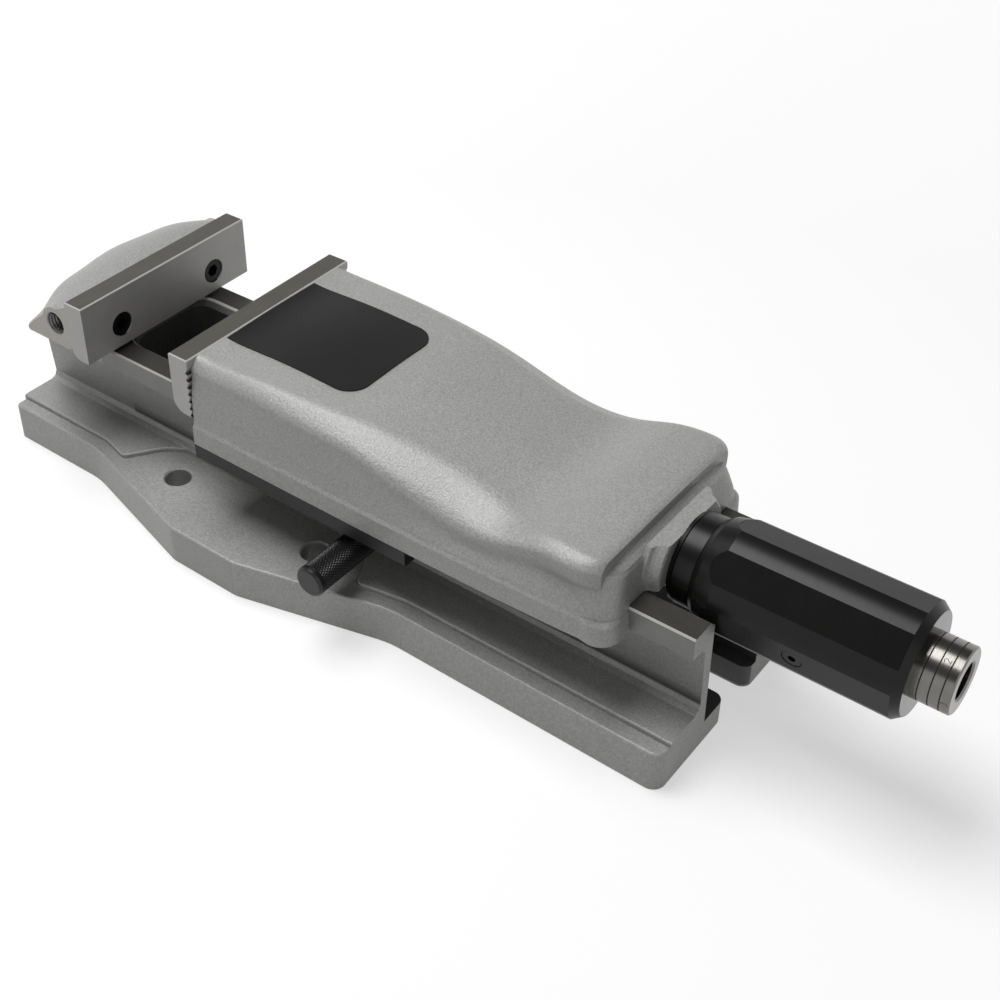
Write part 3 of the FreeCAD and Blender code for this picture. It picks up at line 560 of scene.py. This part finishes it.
def knob_surface():
    """A radius along the knob, turned about the pin, less the knurl's depth in the middle band.
    The profile starts at the bottom of the pin's bore, so the shell is closed.

    The cut is the larger of two zigzags, of (angle + slope times length) and of
    (angle - slope times length), so that its valleys cross.
    """
    length = KNOB_BACK - KNOB_END
    deep = length - BORE_BOTTOM
    start = [
        (deep, 0.0),
        (deep, BORE_RADIUS),
        (0.0, BORE_RADIUS),
        (0.0, KNOB_RADIUS - 0.8),
        (0.8, KNOB_RADIUS),
    ]
    middle = [(place, KNOB_RADIUS) for place in np.linspace(1.0, length - 3.4, KNURL_ROWS)]
    end = [
        (length - 3.3, KNOB_RADIUS - 0.25),
        (length - 3.1, KNOB_RADIUS),
        (length - 1.3, KNOB_RADIUS),
        (length - 0.5, KNOB_RADIUS - 0.45),
        (length - 0.1, KNOB_RADIUS - 1.0),
        (length, KNOB_RADIUS - 1.3),
        (length, 4.0),
        (length, 1.5),
        (length, 0.0),
    ]
    along, radius = np.array(start + middle + end).T
    angle = np.linspace(0.0, 2.0 * math.pi, KNURL_COLUMNS, endpoint=False)
    turns = angle[None, :] * KNURL_COUNT / (2.0 * math.pi)
    pitch = 2.0 * math.pi * KNOB_RADIUS / KNURL_COUNT
    winding = along[:, None] / pitch * KNURL_SLOPE
    cut = np.maximum(zigzag(turns + winding), zigzag(turns - winding))
    band = ((along > 1.2) & (along < length - 3.5))[:, None]
    r = radius[:, None] - KNURL_DEPTH * cut * band
    points = np.empty((len(along), len(angle), 3))
    points[..., 0] = PIN[0] + r * np.cos(angle)
    points[..., 1] = KNOB_BACK - along[:, None]
    points[..., 2] = PIN[1] + r * np.sin(angle)
    return points / 1000.0


knob = grid_piece("knurled_knob", knob_surface(), close_columns=True, smooth=False)
knob_black = plain_finish("black knurl", (0.007, 0.007, 0.007), 0.34, 0.0, Specular_IOR_Level=0.35)
knob.data.materials.append(knob_black)
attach(knob, "pin")
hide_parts("pin_knob")

# %% [markdown]
# ## Threads in the stop holes
# The hole in each end of the fixed jaw takes a threaded stop rod. A thread is one ridge that
# winds along a bore: at any point the radius depends on the angle plus the distance along it.
# A thin wound wall just inside the smooth bore shows the ridges and leaves the hole open.

# %% Wound walls inside the two stop holes

STOP = {"x": -22.0, "z": 90.0, "radius": 5.5, "mouth": 56.5, "depth": 17.0, "pitch": 1.75}
THREAD_GAP = 0.06
THREAD_HEIGHT = 0.75
THREAD_START = 0.25
THREAD_RUN_IN = 0.8


def thread_wall(side):
    """A bore whose radius is a zigzag of (distance / pitch + angle / one turn)."""
    angle = np.linspace(0.0, 2.0 * math.pi, 72, endpoint=False)
    along = np.linspace(THREAD_START, STOP["depth"], 160)[:, None]
    crest = zigzag(along / STOP["pitch"] + angle[None, :] / (2.0 * math.pi))
    grown = np.clip((along - THREAD_START) / THREAD_RUN_IN, 0.0, 1.0)
    r = STOP["radius"] - THREAD_GAP - THREAD_HEIGHT * crest * grown
    points = np.empty((len(along), len(angle), 3))
    points[..., 0] = STOP["x"] - r * np.cos(angle) * side
    points[..., 1] = side * (STOP["mouth"] - along)
    points[..., 2] = STOP["z"] + r * np.sin(angle)
    return points / 1000.0


thread_steel = plain_finish("cut thread", (0.14, 0.135, 0.13), 0.42, 0.9)
for label, side in (("near", -1.0), ("far", 1.0)):
    wall = grid_piece("stop_thread_" + label, thread_wall(side), close_columns=True)
    wall.data.materials.append(thread_steel)
    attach(wall, "base")

# %% [markdown]
# ## Engraved figures on the sleeve
# Figures 1, 2 and 3 count the grooves. Their heads point to the housing.
# A font's figures are too fat for an engraver's line, so each one is a stroke: a path in the
# plane, widened to a ribbon, and then wrapped round the sleeve.

# %% Figures as wrapped ribbons

FIGURE_HEIGHT = 2.5
FIGURE_WIDTH = 0.24
FIGURE_LIFT = 0.03


def arc(cx, cy, rx, ry, start, end, count=22):
    """Points on part of an ellipse, by angle in degrees."""
    t = np.radians(np.linspace(start, end, count))
    return np.stack([cx + rx * np.cos(t), cy + ry * np.sin(t)], 1)


def straight(a, b, count=8):
    """Points on a straight line from a to b."""
    t = np.linspace(0.0, 1.0, count)[:, None]
    return np.array(a) * (1 - t) + np.array(b) * t


FIGURES = {
    "1": [
        straight((-0.28, 0.72), (0.0, 1.0)),
        straight((0.0, 1.0), (0.0, 0.0), 14),
    ],
    "2": [
        arc(0.0, 0.72, 0.29, 0.28, 165.0, -35.0),
        straight((0.2376, 0.5594), (-0.3, 0.0), 12),
        straight((-0.3, 0.0), (0.3, 0.0)),
    ],
    "3": [
        arc(0.0, 0.76, 0.27, 0.24, 150.0, -90.0),
        arc(0.0, 0.26, 0.31, 0.26, 90.0, -150.0),
    ],
}

# Each figure with its middle along the sleeve and its degrees round it.
FIGURE_PLACES = (("1", 408.8, 128.0), ("2", 413.0, 60.8), ("3", 416.9, -7.2))


def figure_ribbon(parts, middle, turn):
    """The parts joined to one path, widened at right angles to itself, then wrapped: its height
    runs back along the sleeve, and its breadth becomes an angle about it."""
    path = np.concatenate([parts[0]] + [part[1:] for part in parts[1:]])
    path = path * FIGURE_HEIGHT - np.array([0.0, FIGURE_HEIGHT / 2.0])
    along = np.gradient(path, axis=0)
    along /= np.linalg.norm(along, axis=1)[:, None]
    across = np.stack([-along[:, 1], along[:, 0]], 1)
    half = across * FIGURE_WIDTH / 2.0
    sides = np.stack([path + half, path - half], 1)
    angle = math.radians(turn) + sides[..., 0] / SLEEVE_RADIUS
    r = SLEEVE_RADIUS + FIGURE_LIFT
    points = np.empty(sides.shape[:2] + (3,))
    points[..., 0] = middle - sides[..., 1]
    points[..., 1] = -r * np.cos(angle)
    points[..., 2] = AXIS + r * np.sin(angle)
    return points / 1000.0


figure_black = plain_finish("engraved black", (0.02, 0.02, 0.02), 0.6, 0.0)
for text, middle, turn in FIGURE_PLACES:
    stroke = grid_piece("figure_" + text, figure_ribbon(FIGURES[text], middle, turn))
    stroke.data.materials.append(figure_black)
    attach(stroke, "sleeve")

# %% [markdown]
# ## Floor, light and camera
# The object stands on a pale floor that rises to a low round wall, under one large soft lamp
# and a grey sky. The floor shows white to the camera and in reflections, and still takes the
# shadow. The lamp's light fades with distance, so the floor's own glow grows with it.

# %% Floor and sky

FLOOR_X = 170.0
FLOOR_DROP = 0.0002
GLOW = (0.54, 0.54, 0.54)
FULL_GLOW = (1.0, 1.0, 1.0)
SKY = 0.14


def white_where_seen(finish):
    """1 for rays that come from the camera or from gloss or glass, else 0."""
    path = finish.node("ShaderNodeLightPath", {}, {})
    camera = Number(finish, path.outputs["Is Camera Ray"])
    gloss = Number(finish, path.outputs["Is Glossy Ray"])
    glass = Number(finish, path.outputs["Is Transmission Ray"])
    return (camera + gloss + glass).clamp()


def floor_finish():
    """Grey for the light that falls on it, with a white glow that only some rays see."""
    finish = Finish("pale floor")
    diffuse = finish.node("ShaderNodeBsdfDiffuse", {}, {"Color": (0.5, 0.5, 0.5)})
    x, y, z = finish.place()
    distance = ((x - FLOOR_X) * (x - FLOOR_X) + y * y + z * z).math("SQRT")
    shade = finish.blend(distance.above(1350.0, 1900.0), GLOW, FULL_GLOW)
    glow = finish.node("ShaderNodeEmission", {}, {"Color": shade, "Strength": 1.0})
    seen = white_where_seen(finish)
    none = finish.node("ShaderNodeEmission", {}, {"Color": (0.0, 0.0, 0.0), "Strength": 0.0})
    shaders = {0: seen, 1: none.outputs[0], 2: glow.outputs[0]}
    extra = finish.node("ShaderNodeMixShader", {}, shaders)
    total = finish.node("ShaderNodeAddShader", {}, {0: diffuse.outputs[0], 1: extra.outputs[0]})
    finish.tree.links.new(total.outputs[0], finish.output.inputs[0])
    return finish.material


def dish_surface(flat, wide, tall):
    """A flat disc whose rim rises: rings of points that grow from the middle to `flat`, then a
    quarter of an ellipse out to `wide` and up to `tall`."""
    rise = np.linspace(0.0, math.pi / 2.0, 16)
    r = np.concatenate([[0.0, 0.3, 1.0], flat + (wide - flat) * np.sin(rise)])[:, None]
    height = np.concatenate([[0.0, 0.0, 0.0], tall * (1.0 - np.cos(rise))])[:, None]
    angle = np.linspace(0.0, 2.0 * math.pi, 64, endpoint=False)[None, :]
    x = FLOOR_X / 1000.0 + r * np.cos(angle)
    return np.stack([x, r * np.sin(angle), height - FLOOR_DROP + 0.0 * angle], -1)


floor = grid_piece("floor", dish_surface(2.6, 4.6, 2.4), close_columns=True)
floor.data.materials.append(floor_finish())

world = bpy.data.worlds.new("sky")
bpy.context.scene.world = world
world.use_nodes = True
background = world.node_tree.nodes["Background"]
background.inputs["Color"].default_value = (1.0, 1.0, 1.0, 1.0)
background.inputs["Strength"].default_value = SKY
print("sky at", SKY)

# %% Lamps


def posed(axes, place):
    """The matrix of an item from its three axes, as columns, and its place."""
    matrix = np.eye(4)
    matrix[:3, :3] = axes
    matrix[:3, 3] = place
    return Matrix(matrix.tolist())


def lamp(name, place, aim, size, watts):
    """A square soft lamp at `place` that shines towards `aim`."""
    data = bpy.data.lights.new(name, "AREA")
    data.shape = "RECTANGLE"
    data.size, data.size_y = size
    data.energy = watts
    item = bpy.data.objects.new(name, data)
    away = np.array(place) - np.array(aim)
    away = away / np.linalg.norm(away)
    right = np.cross((0.0, 1.0, 0.001), away)
    right /= np.linalg.norm(right)
    up = np.cross(away, right)
    item.matrix_world = posed(np.stack([right, up, away], 1), place)
    bpy.context.scene.collection.objects.link(item)


TARGET = (0.17, 0.0, 0.05)
lamp("key", (-0.3, -0.12, 1.62), TARGET, (1.0, 1.0), 25.0)
lamp("fill", (1.2, -0.7, 1.0), TARGET, (0.8, 0.8), 2.4)

# %% [markdown]
# ## The camera
# The photograph looks down at the vise from the front right. The place, the three angles and
# the focal length come from fitting the edges of the solids to the picture.

# %% Camera

YAW, PITCH, ROLL = math.radians(41.509), math.radians(-35.412), math.radians(-2.514)
EYE = (0.513976, -0.431408, 0.48795)
FOCAL_LENGTH = 54.36
SHIFT = (0.133, -0.101)


def camera_axes():
    """Right, up and back of a camera from its yaw, pitch and roll."""
    level = math.cos(PITCH)
    ahead = np.array([-math.sin(YAW) * level, math.cos(YAW) * level, math.sin(PITCH)])
    right = np.cross(ahead, (0.0, 0.0, 1.0))
    right /= np.linalg.norm(right)
    up = np.cross(right, ahead)
    c, s = math.cos(ROLL), math.sin(ROLL)
    return np.stack([right * c + up * s, up * c - right * s, -ahead], 1)


view = bpy.data.cameras.new("camera")
view.sensor_width = 36.0
view.sensor_fit = "HORIZONTAL"
view.lens = FOCAL_LENGTH
view.shift_x, view.shift_y = SHIFT
view.clip_start = 0.01
view.clip_end = 50.0
camera = bpy.data.objects.new("camera", view)
camera.matrix_world = posed(camera_axes(), EYE)
bpy.context.scene.collection.objects.link(camera)
bpy.context.scene.camera = camera
bpy.context.scene.view_settings.view_transform = "Standard"
